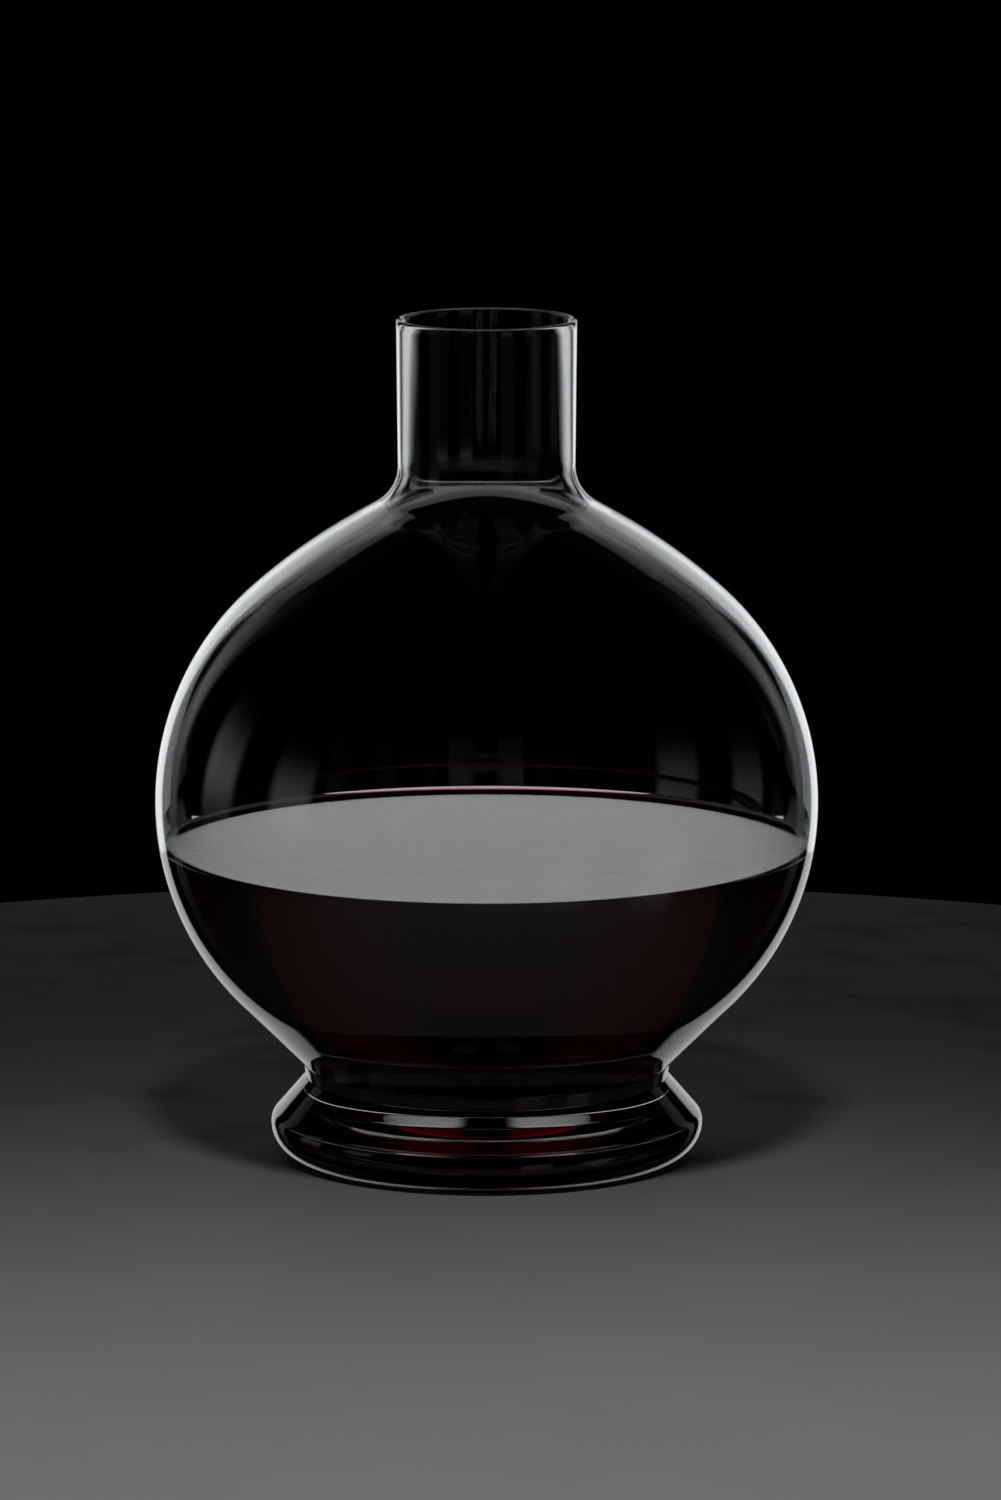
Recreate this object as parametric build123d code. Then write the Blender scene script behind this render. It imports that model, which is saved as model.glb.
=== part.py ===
"""A footed wine decanter: a blown bowl with its neck, a joining ring, a solid foot and the wine.

Millimetres. The decanter stands on the plane z = 0 and turns about the Z axis.
Every piece is a turned solid, and its section is drawn as (radius, height).
"""

from build123d import *
from math import cos, radians, sin, tan
import os

os.makedirs("parts", exist_ok=True)

# Whole decanter
HEIGHT = 214.0
BELLY_RADIUS = 84.2
BELLY_HEIGHT = 90.7  # height of the widest ring of the bowl

# Foot: a heavy solid disc, flat underneath
FOOT_RADIUS = 55.0
FOOT_TOP_RADIUS = 46.2
FOOT_HEIGHT = 20.2
FOOT_SHOULDER_HEIGHT = 10.0  # where the sloping top would meet the upright side
FOOT_UNDER_ROUND = 8.3
FOOT_SHOULDER_ROUND = 4.4

# Joining ring between foot and bowl, a little wider at its top
RING_TOP_RADIUS = 46.7
RING_TOP_HEIGHT = 23.9
RING_EDGE_ROUND = 0.3

# Outside of the bowl, upwards from the ring
BOWL_BASE_RADIUS = 47.0
CONE_TURN = 45.0  # degrees from upright, at the bottom of the bowl
BELLY_UPPER_ROUND = 73.5
BELLY_UPPER_TURN = 48.0
SHOULDER_ROUND = 156.0
SHOULDER_TURN = 13.0
NECK_FOOT_ROUND = 10.2

# Neck and mouth
NECK_RADIUS = 22.5  # outside, where the neck leaves the shoulder
MOUTH_RADIUS = 22.9  # outside, at the rim
BORE_RADIUS = 21.4
LIP_ROUND = 0.74

# Inside of the bowl: 0.9 mm of glass at the belly, more at the shoulder, most in the floor
CAVITY_RADIUS = 83.3
FLOOR_HEIGHT = 34.2
FLOOR_ROUND = 8.0
CAVITY_LOWER_ROUND = 69.6
CAVITY_LOWER_TURN = 47.5
CAVITY_UPPER_ROUND = 70.6
CAVITY_SHOULDER_ROUND = 154.4
BORE_FOOT_ROUND = 11.6

# Wine
WINE_LEVEL = 79.1


def walk(start, heading, steps):
    """Lines and arcs that follow each other smoothly from a point.

    The heading is in degrees, counter-clockwise from the radius axis. A step is a length for a
    straight run, or a radius and a turn for an arc, where a turn to the left is positive.
    """
    edges = []
    place = Vector(*start)
    for step in steps:
        ahead = Vector(cos(radians(heading)), sin(radians(heading)))
        if isinstance(step, tuple):
            radius, turn = step
            edge = JernArc(place, ahead, radius, turn)
            heading += turn
        else:
            edge = Line(place, place + ahead * step)
        edges.append(edge)
        place = edge @ 1
    return edges


def turned(edges):
    """The solid that a closed section sweeps in a full turn about the Z axis."""
    return revolve(Plane.XZ * make_face(edges), Axis.Z, 360)


def run_to(start_radius, end_radius, lean):
    """Length of a straight run that leans by an angle from upright between two radii."""
    return abs(start_radius - end_radius) / sin(radians(lean))


def outer_wall():
    """Outside of the bowl, from its base to the rim, as two smooth chains from the widest ring."""
    belly = (BELLY_RADIUS, BELLY_HEIGHT)

    # Down: one arc and a straight cone to the base, with the radius that makes them meet there
    cone_corner_height = RING_TOP_HEIGHT + (BELLY_RADIUS - BOWL_BASE_RADIUS) / tan(radians(CONE_TURN))
    lower_round = (BELLY_HEIGHT - cone_corner_height) / tan(radians(CONE_TURN / 2))
    cone_radius = BELLY_RADIUS - lower_round * (1 - cos(radians(CONE_TURN)))
    cone_run = run_to(cone_radius, BOWL_BASE_RADIUS, CONE_TURN)
    down = walk(belly, -90, [(lower_round, -CONE_TURN), cone_run])

    # Up: belly, flatter shoulder, a short straight run, then the hollow curve into the neck
    lean = BELLY_UPPER_TURN + SHOULDER_TURN
    rounds = [(BELLY_UPPER_ROUND, BELLY_UPPER_TURN), (SHOULDER_ROUND, SHOULDER_TURN)]
    shoulder_end = walk(belly, 90, rounds)[-1] @ 1
    neck_start = NECK_RADIUS + NECK_FOOT_ROUND * (1 - cos(radians(lean)))
    straight = run_to(shoulder_end.X, neck_start, lean)
    up = walk(belly, 90, rounds + [straight, (NECK_FOOT_ROUND, -lean)])

    return down, up


def cavity_wall():
    """Inside of the bowl, from its floor to the foot of the neck's bore, as two smooth chains."""
    belly = (CAVITY_RADIUS, BELLY_HEIGHT)

    # Floor, its round corner, then a cone and one arc up to the widest ring
    lean = CAVITY_LOWER_TURN
    arc_bottom = CAVITY_RADIUS - CAVITY_LOWER_ROUND * (1 - cos(radians(lean)))
    cone_top_height = BELLY_HEIGHT - CAVITY_LOWER_ROUND * sin(radians(lean))
    floor_arc_rise = FLOOR_ROUND * (1 - sin(radians(lean)))
    cone_run = (cone_top_height - FLOOR_HEIGHT - floor_arc_rise) / cos(radians(lean))
    cone_bottom = arc_bottom - cone_run * sin(radians(lean))
    floor_radius = cone_bottom - FLOOR_ROUND * cos(radians(lean))
    corner = (FLOOR_ROUND, 90 - lean)
    lower = walk((0, FLOOR_HEIGHT), 0, [floor_radius, corner, cone_run, (CAVITY_LOWER_ROUND, lean)])

    # Above the widest ring the inside turns through the same angles as the outside
    upper_lean = BELLY_UPPER_TURN + SHOULDER_TURN
    rounds = [(CAVITY_UPPER_ROUND, BELLY_UPPER_TURN), (CAVITY_SHOULDER_ROUND, SHOULDER_TURN)]
    shoulder_end = walk(belly, 90, rounds)[-1] @ 1
    bore_start = BORE_RADIUS + BORE_FOOT_ROUND * (1 - cos(radians(upper_lean)))
    straight = run_to(shoulder_end.X, bore_start, upper_lean)
    upper = walk(belly, 90, rounds + [straight, (BORE_FOOT_ROUND, -upper_lean)])

    return lower, upper


def make_bowl():
    """Bowl and neck, blown in one piece, with a rounded lip."""
    down, up = outer_wall()
    lower, upper = cavity_wall()
    neck_foot = up[-1] @ 1
    bore_foot = upper[-1] @ 1
    base_corner = down[-1] @ 1
    rim = FilletPolyline(
        neck_foot,
        (MOUTH_RADIUS, HEIGHT),
        (BORE_RADIUS, HEIGHT),
        bore_foot,
        radius=LIP_ROUND,
    )
    underside = Polyline(base_corner, (0, RING_TOP_HEIGHT), (0, FLOOR_HEIGHT))
    return turned([*down, *up, rim, *upper, *lower, underside])


def make_ring():
    """Joining ring: a short disc whose side leans in towards the foot."""
    side = FilletPolyline(
        (0, RING_TOP_HEIGHT),
        (RING_TOP_RADIUS, RING_TOP_HEIGHT),
        (FOOT_TOP_RADIUS, FOOT_HEIGHT),
        (0, FOOT_HEIGHT),
        radius=RING_EDGE_ROUND,
    )
    axis = Line((0, FOOT_HEIGHT), (0, RING_TOP_HEIGHT))
    return turned([side, axis])


def make_foot():
    """Foot: flat base, full round side and a sloping top up to the ring."""
    side = FilletPolyline(
        (0, 0),
        (FOOT_RADIUS, 0),
        (FOOT_RADIUS, FOOT_SHOULDER_HEIGHT),
        (FOOT_TOP_RADIUS, FOOT_HEIGHT),
        radius=[FOOT_UNDER_ROUND, FOOT_SHOULDER_ROUND],
    )
    top = Polyline((FOOT_TOP_RADIUS, FOOT_HEIGHT), (0, FOOT_HEIGHT), (0, 0))
    return turned([side, top])


def make_wine():
    """Wine: the part of the cavity below its flat surface, touching the glass all round."""
    lower, upper = cavity_wall()
    bore_foot = upper[-1] @ 1
    lid = Polyline(bore_foot, (0, bore_foot.Y), (0, FLOOR_HEIGHT))
    cavity = turned([*lower, *upper, lid])
    below_level = Pos(0, 0, WINE_LEVEL / 2) * Cylinder(BELLY_RADIUS, WINE_LEVEL)
    return cavity & below_level


parts = {
    "bowl": make_bowl(),
    "joining_ring": make_ring(),
    "foot": make_foot(),
    "wine": make_wine(),
}

for name, piece in parts.items():
    piece.label = name
    export_step(piece, f"parts/{name}.step")
    print(f"{name}: {piece.volume / 1000:.1f} ml, valid {piece.is_valid}")
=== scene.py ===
"""The looks of the footed wine decanter: crystal, wine, a pale floor and soft studio light."""

from math import acosh, atan2, cos, degrees, pi, radians, sin, sqrt, tan

import bpy
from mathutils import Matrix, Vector, noise


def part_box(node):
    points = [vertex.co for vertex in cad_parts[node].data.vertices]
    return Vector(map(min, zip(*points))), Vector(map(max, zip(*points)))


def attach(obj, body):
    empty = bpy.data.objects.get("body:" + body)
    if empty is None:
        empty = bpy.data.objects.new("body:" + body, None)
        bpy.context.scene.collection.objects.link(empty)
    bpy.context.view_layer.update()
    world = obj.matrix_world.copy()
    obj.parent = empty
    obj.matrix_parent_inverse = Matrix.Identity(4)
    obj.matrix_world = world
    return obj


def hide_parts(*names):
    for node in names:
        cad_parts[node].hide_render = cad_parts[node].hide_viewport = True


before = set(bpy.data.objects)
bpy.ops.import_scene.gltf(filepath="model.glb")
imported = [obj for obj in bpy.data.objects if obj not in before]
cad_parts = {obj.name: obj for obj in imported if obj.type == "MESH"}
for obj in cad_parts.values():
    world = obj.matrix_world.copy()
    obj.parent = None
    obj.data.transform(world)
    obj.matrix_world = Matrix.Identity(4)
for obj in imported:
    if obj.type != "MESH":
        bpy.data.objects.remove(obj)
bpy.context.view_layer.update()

# Sizes in metres, the same as the CAD model's. What a node's box gives is read from it.
MM = 0.001
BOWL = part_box("bowl")
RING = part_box("joining_ring")
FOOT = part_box("foot")
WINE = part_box("wine")

# Bowl, foot and ring, outside
HEIGHT = BOWL[1][2]
BELLY_RADIUS = 84.2 * MM
BELLY_HEIGHT = 90.7 * MM  # height of the widest ring of the bowl
FOOT_RADIUS = 55.0 * MM
FOOT_TOP_RADIUS = 46.2 * MM
FOOT_HEIGHT = FOOT[1][2]
FOOT_SHOULDER_HEIGHT = 10.0 * MM  # where the sloping top would meet the upright side
FOOT_UNDER_ROUND = 8.3 * MM
FOOT_SHOULDER_ROUND = 4.4 * MM
RING_TOP_RADIUS = 46.7 * MM
RING_TOP_HEIGHT = RING[1][2]
RING_EDGE_ROUND = 0.3 * MM
BOWL_BASE_RADIUS = 47.0 * MM
CONE_TURN = 45.0  # degrees from upright, at the bottom of the bowl
BELLY_UPPER_ROUND = 73.5 * MM
BELLY_UPPER_TURN = 48.0
SHOULDER_ROUND = 156.0 * MM
SHOULDER_TURN = 13.0
NECK_FOOT_ROUND = 10.2 * MM
NECK_RADIUS = 22.5 * MM
MOUTH_RADIUS = 22.9 * MM
BORE_RADIUS = 21.4 * MM

# Bowl, inside
CAVITY_RADIUS = 83.3 * MM
FLOOR_HEIGHT = WINE[0][2]
FLOOR_ROUND = 8.0 * MM
CAVITY_LOWER_ROUND = 69.6 * MM
CAVITY_LOWER_TURN = 47.5
CAVITY_UPPER_ROUND = 70.6 * MM
CAVITY_SHOULDER_ROUND = 154.4 * MM
BORE_FOOT_ROUND = 11.6 * MM

# Wine
WINE_LEVEL = WINE[1][2]
MENISCUS_RISE = 1.35 * MM  # how far the wine climbs the glass
CAPILLARY_LENGTH = 2.25 * MM
MENISCUS_RINGS = 30
MENISCUS_STEP = 0.82  # each ring's height above the level, as a share of the ring outside it
WINE_OVERLAP = 0.06 * MM  # wine's skin lies this far inside the glass, so no air is left between
WINE_TINT = (0.96, 0.0, 0.17, 1)  # the share of each colour that the wine doesn't absorb
WINE_DENSITY = 900

# Materials
CRYSTAL_INDEX = 1.54  # refractive
WINE_INDEX = 1.345
SMUDGE_START = 0.52  # noise values between which a smudge builds up
SMUDGE_FULL = 0.72
RELIEF_DEPTH = 0.05 * MM  # of the faint waves in glass and wine
FLOOR_RELIEF_DEPTH = 0.1 * MM

# Waves that the blowing leaves in the bowl
WAVE_DEPTH = 0.22 * MM  # deepest hollow of the hand-blown waves
WAVE_HEIGHT = 70 * MM
WAVES_ROUND = 1.3
WAVE_SEED = Vector((7.3, 1.9, 4.1))
AXIS_RADIUS = 1 * MM  # inside it points stay where they are

# Mesh
SEGMENTS = 384  # round the axis
# Distances between rings are rounded, so that a whole number of them fits each stretch
STEP = 1.0 * MM  # on curves and on the foot's slope
STEP_TURN = 6  # on the tightest curves, in degrees
RUN_STEP = 2.0 * MM  # on the neck's straight walls and beside the wine's raised edge
LONG_STEP = 3 * STEP  # on the straight runs of walk
FLAT_STEP = 6.0 * MM  # on the level faces that straight makes
ROUND_STEPS = 4  # points on the ring's small edge rounds
LIP_STEPS = 12

SAME_HEIGHT = 0.01 * MM
LEVEL_NORMAL = 0.99  # a face whose normal stands up at least this much is level

# Stage
FLOOR_RADIUS = 360 * MM
FLOOR_TOP = -0.05 * MM  # a hair of air is left under the foot, as under any glass on a table
FLOOR_SIDES = 180
# The flag: a black sheet seen only through the foot's glass, painted shade that keeps the foot dark
FLAG_RADIUS = 60 * MM
FLAG_BOTTOM = 0.5 * MM
FLAG_HEIGHT = 33 * MM
FLAG_SIDES = 96

# Camera: lens and sensor in millimetres, pitch in degrees, the rest in metres
CAMERA_DISTANCE = 2.116
CAMERA_HEIGHT = 0.4776
CAMERA_PITCH = 10.015
CAMERA_LENS = 203.5
CAMERA_SENSOR = 36
CAMERA_SIDE_STEP = 0.0035
CAMERA_REACH = 50

# World light. A direction's bearing is 0 straight behind the decanter and grows to the right, and
# its rise is the angle above the horizon, both in degrees.
# Pairs of upright panels, as: middle bearing, then how far from it the panel starts to show, is
# full, starts to fade and is gone, then middle rise, spread of the rise, power
SIDE_PANELS = [
    (0, 5.5, 11, 24.5, 27, -4, 38, 0.9),  # the bright edges seen from the front
    (0, 34, 36.5, 42, 45, 5, 18, 0.17),  # the faint second band inside them
    (-90, 7, 12, 24, 28, 6, 9, 0.3),  # edges seen from the side
    (135, 7, 12, 24, 28, -20, 8, 0.2),  # edges seen from behind
]
# Level strips, as: middle bearing, half width, lowest rise, highest rise, softness, power
STRIPS = [
    (0, 7, 8, 14, 1.0, 0.85),  # mirrored by the wine's surface
]
WORLD_COLOUR = (0.95, 0.985, 1.0, 1)

# Lamps, in watts, metres and degrees
LOW_PANEL_POWER = 0.0019
LOW_PANEL_WIDTH = 0.17
LOW_PANEL_HEIGHT = 0.03
LOW_PANEL_PLACE = (0, 0.15, 0.044)
LOW_PANEL_LEAN = 112  # from facing down, so it faces the camera and a little up
LOW_PANEL_SPREAD = 80
FLOOR_LIGHT_POWER = 22
FLOOR_LIGHT_PLACE = (0, -0.85, 1.3)
FLOOR_LIGHT_TARGET = (0, -0.4, 0)
FLOOR_LIGHT_CONE = 36
FLOOR_LIGHT_SIZE = 0.12

GLASS_BOUNCES = 32  # light crosses many faces of glass and wine


def walk(start, heading, steps):
    """Points along lines and arcs that follow each other smoothly, as (radius, height)."""
    x, y = start
    points = [(x, y)]
    for step in steps:
        if isinstance(step, tuple):
            radius, turn = step
            count = max(3, int(abs(radius * radians(turn)) / STEP) + 1, int(abs(turn) / STEP_TURN))
            side = 1 if turn > 0 else -1
            cx = x - side * radius * sin(radians(heading))
            cy = y + side * radius * cos(radians(heading))
            for k in range(1, count + 1):
                angle = radians(heading + turn * k / count)
                points.append((cx + side * radius * sin(angle), cy - side * radius * cos(angle)))
            heading += turn
        else:
            count = max(1, int(step / LONG_STEP))
            for k in range(1, count + 1):
                along = step * k / count
                points.append((x + along * cos(radians(heading)), y + along * sin(radians(heading))))
        x, y = points[-1]
    return points


def run_to(start_radius, end_radius, lean):
    """Length of a straight run that leans by an angle from upright between two radii."""
    return abs(start_radius - end_radius) / sin(radians(lean))


def outer_wall():
    """Outside of the bowl from its base corner up to the foot of the neck."""
    corner = RING_TOP_HEIGHT + (BELLY_RADIUS - BOWL_BASE_RADIUS) / tan(radians(CONE_TURN))
    lower_round = (BELLY_HEIGHT - corner) / tan(radians(CONE_TURN / 2))
    cone_radius = BELLY_RADIUS - lower_round * (1 - cos(radians(CONE_TURN)))
    cone_run = run_to(cone_radius, BOWL_BASE_RADIUS, CONE_TURN)
    down = walk((BELLY_RADIUS, BELLY_HEIGHT), -90, [(lower_round, -CONE_TURN), cone_run])
    lean = BELLY_UPPER_TURN + SHOULDER_TURN
    rounds = [(BELLY_UPPER_ROUND, BELLY_UPPER_TURN), (SHOULDER_ROUND, SHOULDER_TURN)]
    shoulder_end = walk((BELLY_RADIUS, BELLY_HEIGHT), 90, rounds)[-1]
    neck_start = NECK_RADIUS + NECK_FOOT_ROUND * (1 - cos(radians(lean)))
    straight_run = run_to(shoulder_end[0], neck_start, lean)
    up = walk((BELLY_RADIUS, BELLY_HEIGHT), 90, rounds + [straight_run, (NECK_FOOT_ROUND, -lean)])
    return down[::-1] + up[1:]


def cavity_wall():
    """Inside of the bowl from the middle of its floor up to the foot of the bore."""
    lean = BELLY_UPPER_TURN + SHOULDER_TURN
    rounds = [(CAVITY_UPPER_ROUND, BELLY_UPPER_TURN), (CAVITY_SHOULDER_ROUND, SHOULDER_TURN)]
    shoulder_end = walk((CAVITY_RADIUS, BELLY_HEIGHT), 90, rounds)[-1]
    bore_start = BORE_RADIUS + BORE_FOOT_ROUND * (1 - cos(radians(lean)))
    straight_run = run_to(shoulder_end[0], bore_start, lean)
    up = walk((CAVITY_RADIUS, BELLY_HEIGHT), 90, rounds + [straight_run, (BORE_FOOT_ROUND, -lean)])
    arc_bottom = CAVITY_RADIUS - CAVITY_LOWER_ROUND * (1 - cos(radians(CAVITY_LOWER_TURN)))
    cone_top = BELLY_HEIGHT - CAVITY_LOWER_ROUND * sin(radians(CAVITY_LOWER_TURN))
    arc_rise = FLOOR_ROUND * (1 - sin(radians(CAVITY_LOWER_TURN)))
    cone_run = (cone_top - FLOOR_HEIGHT - arc_rise) / cos(radians(CAVITY_LOWER_TURN))
    cone_bottom = arc_bottom - cone_run * sin(radians(CAVITY_LOWER_TURN))
    floor_radius = cone_bottom - FLOOR_ROUND * cos(radians(CAVITY_LOWER_TURN))
    corner = (FLOOR_ROUND, 90 - CAVITY_LOWER_TURN)
    lower_round = (CAVITY_LOWER_ROUND, CAVITY_LOWER_TURN)
    down = walk((0, FLOOR_HEIGHT), 0, [floor_radius, corner, cone_run, lower_round])
    return down + up[1:]


def straight(a, b, step):
    """Points from a to b, without a itself."""
    length = sqrt((b[0] - a[0]) ** 2 + (b[1] - a[1]) ** 2)
    count = max(1, int(length / step))
    width, height = b[0] - a[0], b[1] - a[1]
    return [(a[0] + width * k / count, a[1] + height * k / count) for k in range(1, count + 1)]


def lathe(name, section, sharp=(), shape=None):
    """A closed turned mesh from a section that starts and ends on the axis.

    sharp holds the numbers of the section's points where the surface has an edge. shape takes a
    point's place and gives its new place.
    """
    verts, faces = [], []
    rings = section[1:-1]
    count = len(rings)
    for radius, height in rings:
        for s in range(SEGMENTS):
            angle = 2 * pi * s / SEGMENTS
            place = Vector((radius * cos(angle), radius * sin(angle), height))
            verts.append(shape(place) if shape else place)
    for k in range(count - 1):
        lower, upper = k * SEGMENTS, (k + 1) * SEGMENTS
        for s in range(SEGMENTS):
            t = (s + 1) % SEGMENTS
            faces.append((lower + s, lower + t, upper + t, upper + s))
    for k, ring in ((0, 0), (count, count - 1)):
        tip = len(verts)
        verts.append(Vector((0, 0, section[0][1] if k == 0 else section[-1][1])))
        for s in range(SEGMENTS):
            t = (s + 1) % SEGMENTS
            a, b = ring * SEGMENTS + s, ring * SEGMENTS + t
            faces.append((tip, b, a) if k == 0 else (a, b, tip))
    mesh = bpy.data.meshes.new(name)
    mesh.from_pydata([tuple(v) for v in verts], [], faces)
    mesh.polygons.foreach_set("use_smooth", [True] * len(mesh.polygons))
    edge_rings = {k - 1 for k in sharp}
    for edge in mesh.edges:
        a, b = edge.vertices
        if a < count * SEGMENTS and b < count * SEGMENTS and a // SEGMENTS == b // SEGMENTS:
            edge.use_edge_sharp = a // SEGMENTS in edge_rings
    mesh.update()
    obj = bpy.data.objects.new(name, mesh)
    bpy.context.scene.collection.objects.link(obj)
    return obj


def blown(place):
    """A point of the bowl or the wine, drawn in a little as hand-blown glass is never quite round.

    The amount depends only on the direction and the height, so both faces of the wall and the
    wine's skin move together.
    """
    radius = place.xy.length
    if radius < AXIS_RADIUS:
        return place
    side = place.xy / radius
    wave = noise.noise(Vector((side.x, side.y, place.z / WAVE_HEIGHT)) * WAVES_ROUND + WAVE_SEED)
    fine = noise.noise(Vector((side.x, side.y, place.z / WAVE_HEIGHT)) * WAVES_ROUND * 3 + WAVE_SEED)
    inward = WAVE_DEPTH * (0.5 + 0.4 * wave + 0.1 * fine)
    share = (radius - inward) / radius
    return Vector((place.x * share, place.y * share, place.z))


def bowl_section():
    """The bowl's section: underside, outside, lip and inside, with the numbers of its two edges."""
    joint = RING_TOP_RADIUS - RING_EDGE_ROUND
    points = [(0, RING_TOP_HEIGHT)]
    points += straight(points[-1], (joint, RING_TOP_HEIGHT), FLAT_STEP)
    joint_end = len(points) - 1
    base_corner = len(points)
    points += outer_wall()
    lip = (MOUTH_RADIUS - BORE_RADIUS) / 2
    neck_top = (MOUTH_RADIUS, HEIGHT - lip)
    points += straight(points[-1], neck_top, RUN_STEP)
    for k in range(1, LIP_STEPS + 1):
        angle = pi * k / LIP_STEPS
        points.append((BORE_RADIUS + lip + lip * cos(angle), HEIGHT - lip + lip * sin(angle)))
    inside = cavity_wall()[::-1]
    points += straight(points[-1], inside[0], RUN_STEP)
    points += inside[1:]
    return points, joint_end, base_corner


def make_bowl():
    """Bowl and neck, blown in one piece, with a fire-polished lip."""
    points, joint_end, base_corner = bowl_section()
    return lathe("blown_bowl", points, sharp=(joint_end, base_corner), shape=blown)


def make_ring():
    """The short disc of glass between foot and bowl, with small rounds at its edges."""
    r = RING_EDGE_ROUND
    points = [(0, FOOT_HEIGHT)]
    points += straight(points[-1], (FOOT_TOP_RADIUS - r, FOOT_HEIGHT), FLAT_STEP)
    low = len(points) - 1
    for k in range(1, ROUND_STEPS + 1):
        angle = -pi / 2 + pi / 2 * k / ROUND_STEPS
        points.append((FOOT_TOP_RADIUS - r + r * cos(angle), FOOT_HEIGHT + r + r * sin(angle)))
    points += straight(points[-1], (RING_TOP_RADIUS, RING_TOP_HEIGHT - r), STEP / 2)
    for k in range(1, ROUND_STEPS + 1):
        angle = pi / 2 * k / ROUND_STEPS
        points.append((RING_TOP_RADIUS - r + r * cos(angle), RING_TOP_HEIGHT - r + r * sin(angle)))
    high = len(points) - 1
    points += straight(points[-1], (0, RING_TOP_HEIGHT), FLAT_STEP)
    return lathe("joining_disc", points, sharp=(low, high))


def make_foot():
    """The solid foot: flat base, full round side and a sloping top."""
    lean = radians(90) - atan2(FOOT_HEIGHT - FOOT_SHOULDER_HEIGHT, FOOT_RADIUS - FOOT_TOP_RADIUS)
    reach = FOOT_SHOULDER_ROUND * tan(lean / 2)
    points = walk((0, 0), 0, [FOOT_RADIUS - FOOT_UNDER_ROUND, (FOOT_UNDER_ROUND, 90)])
    upright = FOOT_SHOULDER_HEIGHT - reach - FOOT_UNDER_ROUND
    points += walk(points[-1], 90, [upright, (FOOT_SHOULDER_ROUND, degrees(lean))])[1:]
    points += straight(points[-1], (FOOT_TOP_RADIUS, FOOT_HEIGHT), STEP)
    top = len(points) - 1
    points += straight(points[-1], (0, FOOT_HEIGHT), FLAT_STEP)
    return lathe("crystal_foot", points, sharp=(top,))


def meniscus(rise):
    """The raised edge as (distance from the wall, height above the level), from the wall inwards."""
    length = CAPILLARY_LENGTH

    def reach(h):
        return length * (acosh(2 * length / h) - acosh(2 * length / rise)
                         + sqrt(4 - (rise / length) ** 2) - sqrt(4 - (h / length) ** 2))

    heights = [rise * MENISCUS_STEP ** k for k in range(MENISCUS_RINGS)]
    return [(reach(h), h) for h in heights]


def make_wine():
    """The wine, with its skin a hair inside the glass and its edge raised where it climbs it."""
    wall = cavity_wall()
    contact = WINE_LEVEL + MENISCUS_RISE
    side = [wall[0]]
    for a, b in zip(wall, wall[1:]):
        if b[1] >= contact:
            share = (contact - a[1]) / (b[1] - a[1])
            side.append((a[0] + (b[0] - a[0]) * share, contact))
            break
        side.append(b)
    grown = []
    for k, (radius, height) in enumerate(side):
        a, b = side[max(0, k - 1)], side[min(len(side) - 1, k + 1)]
        dx, dy = b[0] - a[0], b[1] - a[1]
        length = sqrt(dx * dx + dy * dy)
        outward = WINE_OVERLAP * dy / length if radius else 0
        grown.append((radius + outward, height - WINE_OVERLAP * dx / length))
    rim = len(grown) - 1
    top = []
    for reach, h in meniscus(MENISCUS_RISE)[1:]:
        top.append((side[-1][0] - reach, WINE_LEVEL + h))
    level_start = (top[-1][0] - RUN_STEP, WINE_LEVEL)
    points = grown + top + [level_start] + straight(level_start, (0, WINE_LEVEL), FLAT_STEP)
    return lathe("red_wine", points, sharp=(rim,), shape=blown)


def node_material(name):
    """A material with an empty node tree and its output."""
    material = bpy.data.materials.new(name)
    material.use_nodes = True
    tree = material.node_tree
    tree.nodes.clear()
    out = tree.nodes.new("ShaderNodeOutputMaterial")
    return material, tree, out


def surface_noise(tree, scale, detail, roughness):
    """A noise pattern fixed to the object. The scale is in waves per metre."""
    place = tree.nodes.new("ShaderNodeTexCoord")
    pattern = tree.nodes.new("ShaderNodeTexNoise")
    pattern.inputs["Scale"].default_value = scale
    pattern.inputs["Detail"].default_value = detail
    pattern.inputs["Roughness"].default_value = roughness
    tree.links.new(place.outputs["Object"], pattern.inputs["Vector"])
    return pattern.outputs["Fac"]


def add_bump(tree, shader, height, strength, distance):
    """Relief from a pattern, on the shader's normal."""
    bump = tree.nodes.new("ShaderNodeBump")
    bump.inputs["Strength"].default_value = strength
    bump.inputs["Distance"].default_value = distance
    tree.links.new(height, bump.inputs["Height"])
    tree.links.new(bump.outputs[0], shader.inputs["Normal"])


def add_smudges(tree, shader, scale, clean, smudged):
    """Roughness that rises from clean to smudged in the brighter parts of a noise pattern."""
    marks = tree.nodes.new("ShaderNodeMapRange")
    marks.inputs["From Min"].default_value = SMUDGE_START
    marks.inputs["From Max"].default_value = SMUDGE_FULL
    marks.inputs["To Min"].default_value = clean
    marks.inputs["To Max"].default_value = smudged
    tree.links.new(surface_noise(tree, scale, 4, 0.6), marks.inputs["Value"])
    tree.links.new(marks.outputs[0], shader.inputs["Roughness"])


def crystal(name, wave_scale, smudged):
    """Clear lead crystal with faint waves from the hot working and faint handling marks."""
    material, tree, out = node_material(name)
    glass = tree.nodes.new("ShaderNodeBsdfPrincipled")
    glass.inputs["Base Color"].default_value = (1, 1, 1, 1)
    glass.inputs["Transmission Weight"].default_value = 1.0
    glass.inputs["IOR"].default_value = CRYSTAL_INDEX
    add_smudges(tree, glass, 45, 0.0, smudged)
    add_bump(tree, glass, surface_noise(tree, wave_scale, 2, 0.5), 0.35, RELIEF_DEPTH)
    tree.links.new(glass.outputs[0], out.inputs["Surface"])
    return material


def fused_joint():
    """Nothing to see: two glasses fused hot have no surface between them."""
    material, tree, out = node_material("fused_joint")
    clear = tree.nodes.new("ShaderNodeBsdfTransparent")
    tree.links.new(clear.outputs[0], out.inputs["Surface"])
    return material


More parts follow.
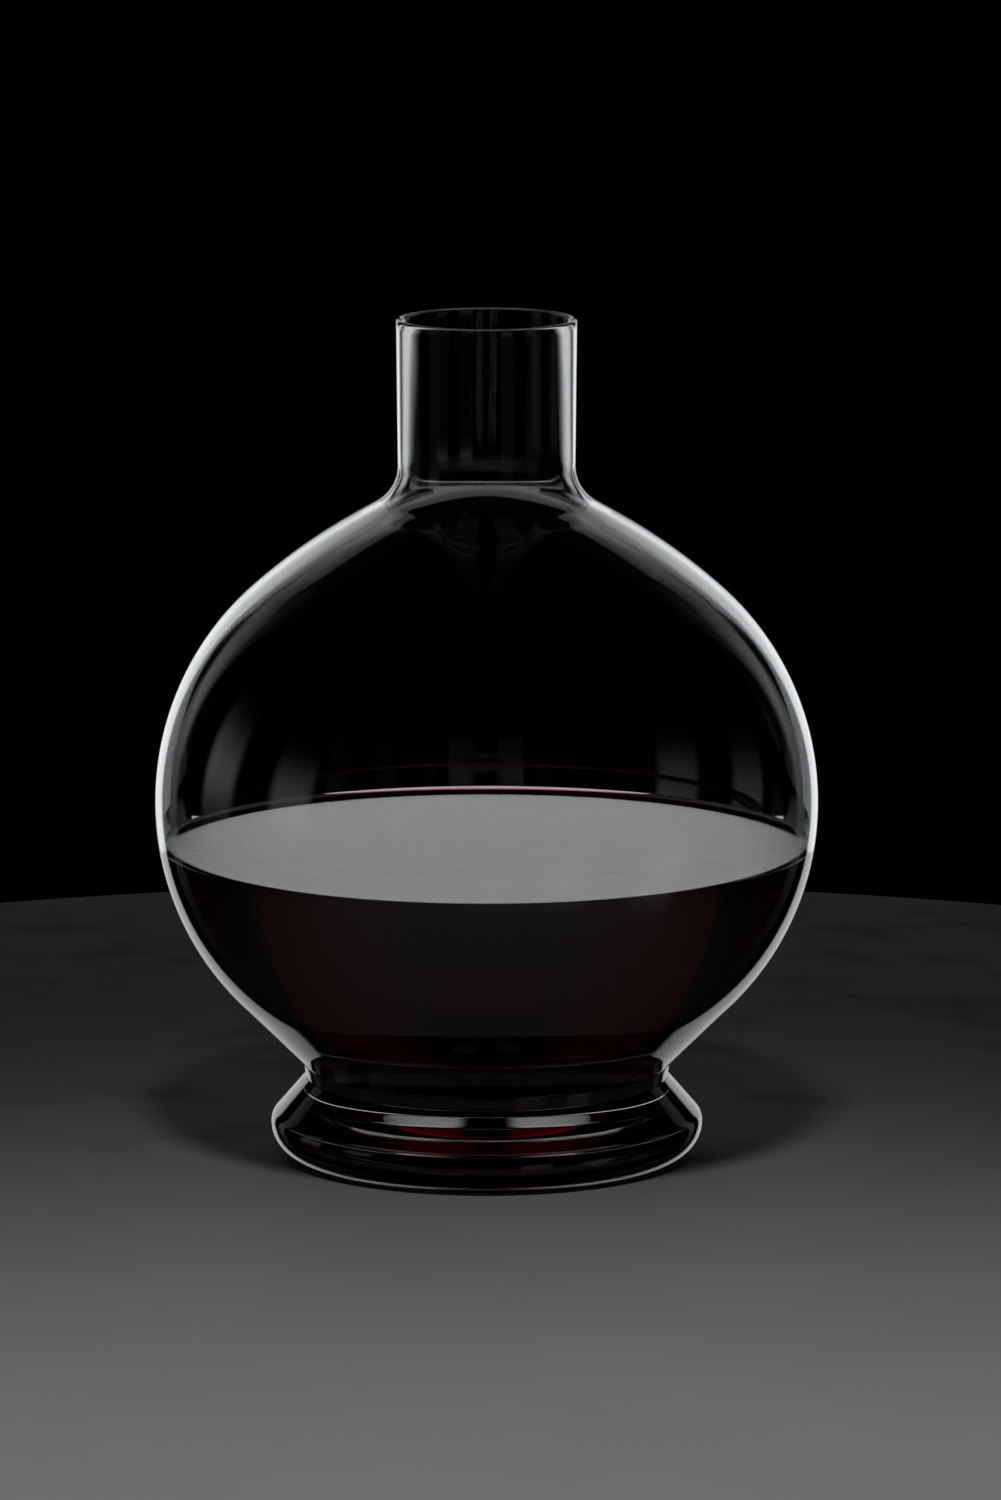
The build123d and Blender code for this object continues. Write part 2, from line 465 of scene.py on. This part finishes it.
def wine_material():
    """Red wine, which lets light through only where it is thin."""
    material, tree, out = node_material("red_wine")
    wine = tree.nodes.new("ShaderNodeBsdfPrincipled")
    wine.inputs["Base Color"].default_value = (1, 1, 1, 1)
    wine.inputs["Transmission Weight"].default_value = 1.0
    wine.inputs["IOR"].default_value = WINE_INDEX
    add_smudges(tree, wine, 30, 0.0, 0.02)
    add_bump(tree, wine, surface_noise(tree, 14, 1, 0.5), 0.2, RELIEF_DEPTH)
    absorb = tree.nodes.new("ShaderNodeVolumeAbsorption")
    absorb.inputs["Color"].default_value = WINE_TINT
    absorb.inputs["Density"].default_value = WINE_DENSITY
    tree.links.new(wine.outputs[0], out.inputs["Surface"])
    tree.links.new(absorb.outputs[0], out.inputs["Volume"])
    return material


def painted_shade_flag_material():
    """Black felt with a faint nap: painted shade, seen only through the foot's glass to keep the
    foot dark.
    """
    material, tree, out = node_material("painted_shade_felt")
    # Painted shade: this near-black colour is what the foot shows through its glass
    felt = tree.nodes.new("ShaderNodeBsdfPrincipled")
    felt.inputs["Base Color"].default_value = (0.004, 0.004, 0.004, 1)
    felt.inputs["Specular IOR Level"].default_value = 0.0
    add_smudges(tree, felt, 60, 0.9, 1.0)
    tree.links.new(felt.outputs[0], out.inputs["Surface"])
    return material


def floor_material():
    """Pale matt board with a soft mottle and a fine tooth."""
    material, tree, out = node_material("pale_floor")
    board = tree.nodes.new("ShaderNodeBsdfPrincipled")
    tones = tree.nodes.new("ShaderNodeValToRGB")
    tones.color_ramp.elements[0].color = (0.56, 0.565, 0.57, 1)
    tones.color_ramp.elements[1].color = (0.68, 0.685, 0.69, 1)
    tree.links.new(surface_noise(tree, 9, 5, 0.6), tones.inputs[0])
    tree.links.new(tones.outputs[0], board.inputs["Base Color"])
    add_smudges(tree, board, 25, 0.75, 0.9)
    add_bump(tree, board, surface_noise(tree, 900, 3, 0.6), 0.3, FLOOR_RELIEF_DEPTH)
    tree.links.new(board.outputs[0], out.inputs["Surface"])
    return material


JOINT = fused_joint()


def flat_joint_faces(obj, heights, radius):
    """Gives the faces where the glass is fused to its neighbour the joint's material."""
    for face in obj.data.polygons:
        centre = face.center
        at_joint = any(abs(centre.z - h) < SAME_HEIGHT for h in heights)
        if at_joint and abs(face.normal.z) > LEVEL_NORMAL and centre.xy.length < radius:
            face.material_index = 1


bowl = make_bowl()
ring = make_ring()
foot = make_foot()
wine = make_wine()

bowl.data.materials.append(crystal("blown_crystal", 28, 0.012))
bowl.data.materials.append(JOINT)
flat_joint_faces(bowl, [RING_TOP_HEIGHT], RING_TOP_RADIUS - RING_EDGE_ROUND)
ring.data.materials.append(crystal("ring_crystal", 40, 0.02))
ring.data.materials.append(JOINT)
flat_joint_faces(ring, [RING_TOP_HEIGHT, FOOT_HEIGHT], RING_TOP_RADIUS - RING_EDGE_ROUND)
foot.data.materials.append(crystal("foot_crystal", 22, 0.02))
foot.data.materials.append(JOINT)
flat_joint_faces(foot, [FOOT_HEIGHT], FOOT_TOP_RADIUS - RING_EDGE_ROUND)
wine.data.materials.append(wine_material())

for piece, node, slot in (
    (bowl, "bowl", "blown_crystal"),
    (ring, "joining_ring", "ring_crystal"),
    (foot, "foot", "foot_crystal"),
    (wine, "wine", "red_wine"),
):
    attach(piece, "root")
    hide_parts(node)


def make_camera():
    """The camera, at the photograph's viewing angle."""
    data = bpy.data.cameras.new("camera")
    data.lens = CAMERA_LENS
    data.sensor_width = CAMERA_SENSOR
    data.clip_end = CAMERA_REACH
    camera = bpy.data.objects.new("camera", data)
    bpy.context.scene.collection.objects.link(camera)
    camera.location = (CAMERA_SIDE_STEP, -CAMERA_DISTANCE, CAMERA_HEIGHT)
    camera.rotation_euler = (radians(90 - CAMERA_PITCH), 0, 0)
    bpy.context.scene.camera = camera


def studio_light():
    """World light: soft panels in a dark room, which the glass shows and the floor doesn't."""
    world = bpy.data.worlds.new("studio")
    bpy.context.scene.world = world
    world.use_nodes = True
    tree = world.node_tree
    tree.nodes.clear()
    out = tree.nodes.new("ShaderNodeOutputWorld")
    background = tree.nodes.new("ShaderNodeBackground")
    place = tree.nodes.new("ShaderNodeTexCoord")
    split = tree.nodes.new("ShaderNodeSeparateXYZ")
    tree.links.new(place.outputs["Generated"], split.inputs[0])

    def maths(kind, a, b=None):
        """Arithmetic of one kind on one or two values, each a number or a socket."""
        node = tree.nodes.new("ShaderNodeMath")
        node.operation = kind
        for i, v in enumerate((a, b)):
            if isinstance(v, (int, float)):
                node.inputs[i].default_value = v
            elif v is not None:
                tree.links.new(v, node.inputs[i])
        return node.outputs[0]

    def soft_step(value, low, high):
        """0 at the low angle and 1 at the high one, with a smooth change between."""
        node = tree.nodes.new("ShaderNodeMapRange")
        node.interpolation_type = "SMOOTHSTEP"
        tree.links.new(value, node.inputs["Value"])
        node.inputs["From Min"].default_value = radians(low)
        node.inputs["From Max"].default_value = radians(high)
        return node.outputs[0]

    bearing = maths("ARCTAN2", split.outputs[0], split.outputs[1])
    rise = maths("ARCSINE", split.outputs[2])

    def side_panels(middle, near, full, far, gone, rise_middle, rise_spread, power):
        """Two panels at both sides of a bearing, with a bell-shaped fall-off up and down."""
        off = maths("SUBTRACT", bearing, radians(middle))
        turns = maths("MULTIPLY", maths("ROUND", maths("DIVIDE", off, 2 * pi)), 2 * pi)
        off = maths("ABSOLUTE", maths("SUBTRACT", off, turns))
        inside = maths("MULTIPLY", soft_step(off, near, full), soft_step(off, gone, far))
        up = maths("DIVIDE", maths("SUBTRACT", rise, radians(rise_middle)), radians(rise_spread))
        bell = maths("EXPONENT", maths("MULTIPLY", maths("MULTIPLY", up, up), -1.0))
        return maths("MULTIPLY", maths("MULTIPLY", inside, bell), power)

    def strip(middle, half, low, high, soft, power):
        """A soft-edged panel about a bearing, between two rises."""
        off = maths("ABSOLUTE", maths("SUBTRACT", bearing, radians(middle)))
        inside = soft_step(off, half + soft, half - soft)
        between = maths("MULTIPLY", soft_step(rise, low - soft, low + soft),
                        soft_step(rise, high + soft, high - soft))
        return maths("MULTIPLY", maths("MULTIPLY", inside, between), power)

    lights = [side_panels(*panel) for panel in SIDE_PANELS] + [strip(*band) for band in STRIPS]
    total = lights[0]
    for light in lights[1:]:
        total = maths("ADD", total, light)
    tree.links.new(total, background.inputs["Strength"])
    background.inputs["Color"].default_value = WORLD_COLOUR
    tree.links.new(background.outputs[0], out.inputs["Surface"])
    world.cycles_visibility.diffuse = False


def circle(radius, height, sides):
    """Points round the axis."""
    angles = [2 * pi * k / sides for k in range(sides)]
    return [(radius * cos(angle), radius * sin(angle), height) for angle in angles]


def make_floor():
    """A round pale board under the foot."""
    verts = [(0, 0, FLOOR_TOP)] + circle(FLOOR_RADIUS, FLOOR_TOP, FLOOR_SIDES)
    faces = [(0, 1 + k, 1 + (k + 1) % FLOOR_SIDES) for k in range(FLOOR_SIDES)]
    mesh = bpy.data.meshes.new("floor_board")
    mesh.from_pydata(verts, [], faces)
    floor = bpy.data.objects.new("floor_board", mesh)
    bpy.context.scene.collection.objects.link(floor)
    floor.data.materials.append(floor_material())
    floor.visible_glossy = False


def make_floor_light():
    """A soft spot in front of the decanter. It doesn't show in the glass."""
    lamp = bpy.data.lights.new("floor_light", "SPOT")
    lamp.energy = FLOOR_LIGHT_POWER
    lamp.spot_size = radians(FLOOR_LIGHT_CONE)
    lamp.spot_blend = 1.0
    lamp.shadow_soft_size = FLOOR_LIGHT_SIZE
    spot = bpy.data.objects.new("floor_light", lamp)
    bpy.context.scene.collection.objects.link(spot)
    spot.location = FLOOR_LIGHT_PLACE
    aim = Vector(FLOOR_LIGHT_TARGET) - Vector(FLOOR_LIGHT_PLACE)
    spot.rotation_euler = aim.to_track_quat("-Z", "Y").to_euler()
    spot.visible_camera = False
    spot.visible_glossy = False
    spot.visible_transmission = False


def make_flag():
    """A black card round the foot that is seen only through glass: painted shade that keeps the foot
    dark.
    """
    sides = FLAG_SIDES
    verts = circle(FLAG_RADIUS, FLAG_BOTTOM, sides) + circle(FLAG_RADIUS, FLAG_HEIGHT, sides)
    faces = [(k, (k + 1) % sides, sides + (k + 1) % sides, sides + k) for k in range(sides)]
    mesh = bpy.data.meshes.new("foot_flag")
    mesh.from_pydata(verts, [], faces)
    flag = bpy.data.objects.new("foot_flag", mesh)
    bpy.context.scene.collection.objects.link(flag)
    flag.data.materials.append(painted_shade_flag_material())
    flag.visible_camera = False
    flag.visible_glossy = False
    flag.visible_diffuse = False
    flag.visible_shadow = False


def make_low_panel():
    """A low panel close behind the wine, seen only through glass, that lights its raised edge."""
    lamp = bpy.data.lights.new("low_panel", "AREA")
    lamp.shape = "RECTANGLE"
    lamp.size = LOW_PANEL_WIDTH
    lamp.size_y = LOW_PANEL_HEIGHT
    lamp.spread = radians(LOW_PANEL_SPREAD)
    lamp.energy = LOW_PANEL_POWER
    panel = bpy.data.objects.new("low_panel", lamp)
    bpy.context.scene.collection.objects.link(panel)
    panel.location = LOW_PANEL_PLACE
    panel.rotation_euler = (radians(LOW_PANEL_LEAN), 0, radians(180))
    panel.visible_camera = False
    panel.visible_glossy = False
    panel.visible_diffuse = False


make_camera()
studio_light()
make_floor()
make_flag()
make_low_panel()
make_floor_light()

scene = bpy.context.scene
scene.cycles.max_bounces = GLASS_BOUNCES
scene.cycles.transmission_bounces = GLASS_BOUNCES
scene.cycles.glossy_bounces = GLASS_BOUNCES // 2
scene.cycles.transparent_max_bounces = GLASS_BOUNCES // 2
scene.view_settings.view_transform = "Standard"
